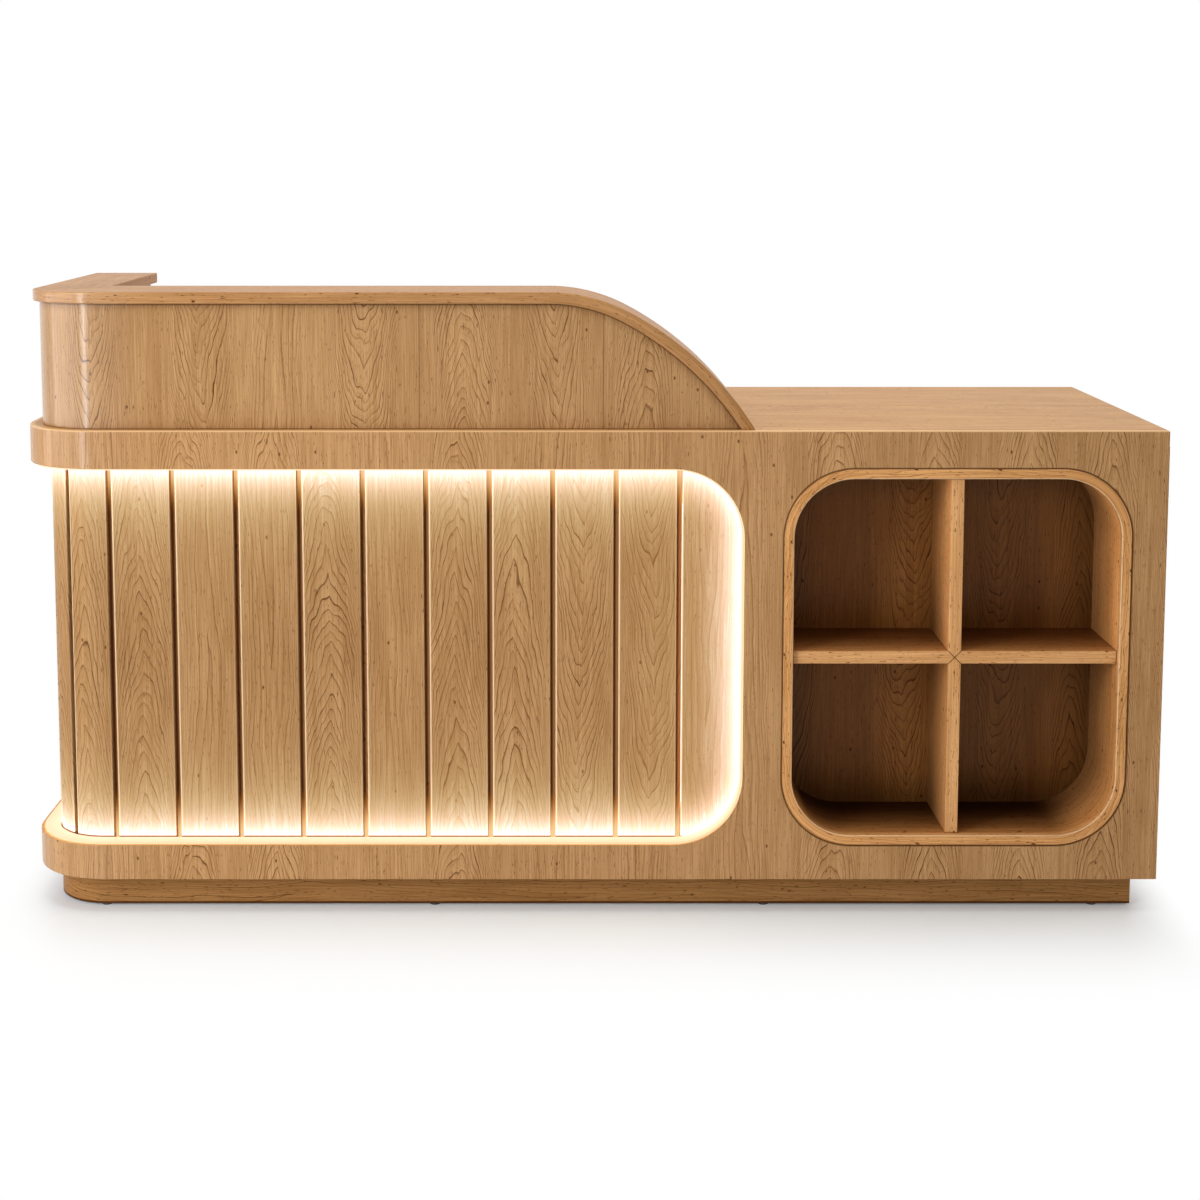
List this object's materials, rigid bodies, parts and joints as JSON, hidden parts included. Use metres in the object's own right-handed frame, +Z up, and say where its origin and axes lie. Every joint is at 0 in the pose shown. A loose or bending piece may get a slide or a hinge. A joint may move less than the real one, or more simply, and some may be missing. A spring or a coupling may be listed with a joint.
{
  "type": "reception desk",
  "caption": "Wooden reception desk with a raised counter that sweeps down to the worktop, a slatted front lit by a recessed strip, a round-cornered display niche and a staff-side cabinet.",
  "frame": {"origin": "on the floor under the middle of the desk's outline", "axes": "+X to the right for a visitor in front, +Y from the visitor's side to the staff side, +Z up"},
  "size_m": [1.8, 0.6, 0.99],
  "materials": {
    "front_veneer": "satin lacquered veneer, upright cathedral grain",
    "slat_wood": "satin lacquered boards, upright grain",
    "top_wood": "satin lacquered top, grain along its length",
    "niche_wood": "satin lacquered boards",
    "plinth_wood": "satin lacquered rail, grain along its length",
    "carcass_wood": "satin veneered panel",
    "door_wood": "satin lacquered veneer, upright grain",
    "drawer_wood": "oiled birch plywood",
    "light_diffuser": "opal light strip, lit warm white",
    "runner_steel": "zinc-plated steel",
    "driver_case": "pale moulded case",
    "dark_plastic": "black moulded plastic"
  },
  "bodies": {
    "frame": {"base_board_left": "carcass_wood", "base_board_right": "carcass_wood", "cabinet_rail": "carcass_wood", "corner_backer": "carcass_wood", "corner_rails": "front_veneer", "counter_corner_panel": "front_veneer", "counter_end_panel": "front_veneer", "counter_front_panel": "front_veneer", "counter_inner_front": "front_veneer", "counter_inner_side": "front_veneer", "counter_side_panel": "front_veneer", "counter_sweep": "top_wood", "counter_top": "top_wood", "cupboard_shelf": "carcass_wood", "door_pivots": "runner_steel", "driver_gland": "dark_plastic", "floor_glides": "dark_plastic", "front_backer": "carcass_wood", "front_fascia": "front_veneer", "front_slat_01": "slat_wood", "front_slat_02": "slat_wood", "front_slat_03": "slat_wood", "front_slat_04": "slat_wood", "front_slat_05": "slat_wood", "front_slat_06": "slat_wood", "front_slat_07": "slat_wood", "front_slat_08": "slat_wood", "front_slat_09": "slat_wood", "front_slat_10": "slat_wood", "inner_side_panel": "carcass_wood", "led_driver": "driver_case", "light_strip": "light_diffuser", "niche_back": "niche_wood", "niche_divider_lower": "niche_wood", "niche_divider_upper": "niche_wood", "niche_liner": "niche_wood", "niche_shelf_left": "niche_wood", "niche_shelf_right": "niche_wood", "plinth_corner_bend": "plinth_wood", "plinth_cross_rails": "plinth_wood", "plinth_front_rail": "plinth_wood", "plinth_left_rail": "plinth_wood", "plinth_rear_rail": "plinth_wood", "return_slats": "slat_wood", "right_side_panel": "carcass_wood", "runner_outer": "runner_steel", "shelf_pins": "runner_steel", "side_backer": "carcass_wood", "side_fascia": "front_veneer", "switch_housing": "dark_plastic", "worktop": "top_wood"},
    "drawer": {"drawer_front": "door_wood", "drawer_sides": "drawer_wood", "drawer_back": "drawer_wood", "drawer_bottom": "drawer_wood", "runner_inner": "runner_steel"},
    "runner_slider": {"runner_middle": "runner_steel"},
    "door_left": {"left_door": "door_wood"},
    "door_right": {"right_door": "door_wood"},
    "rocker": {"switch_rocker": "dark_plastic"}
  },
  "joints": [
    {"name": "drawer_slide", "type": "slide", "parent": "frame", "child": "drawer", "axis": [0, 1, 0], "range_m": [0, 0.34]},
    {"name": "runner_slide", "type": "slide", "parent": "frame", "child": "runner_slider", "axis": [0, 1, 0], "range_m": [0, 0.17]},
    {"name": "door_left_hinge", "type": "hinge", "parent": "frame", "child": "door_left", "pos_m": [0.3, 0.291, 0.338], "axis": [0, 0, 1], "range_deg": [0, 105]},
    {"name": "door_right_hinge", "type": "hinge", "parent": "frame", "child": "door_right", "pos_m": [0.864, 0.291, 0.338], "axis": [0, 0, -1], "range_deg": [0, 105]},
    {"name": "rocker_hinge", "type": "hinge", "parent": "frame", "child": "rocker", "pos_m": [0.2675, 0.23, 0.69], "axis": [0, 1, 0], "range_deg": [-24, 0]}
  ],
  "couplings": [
    {"joint": "runner_slide", "follows": "drawer_slide", "ratio": 0.5}
  ]
}
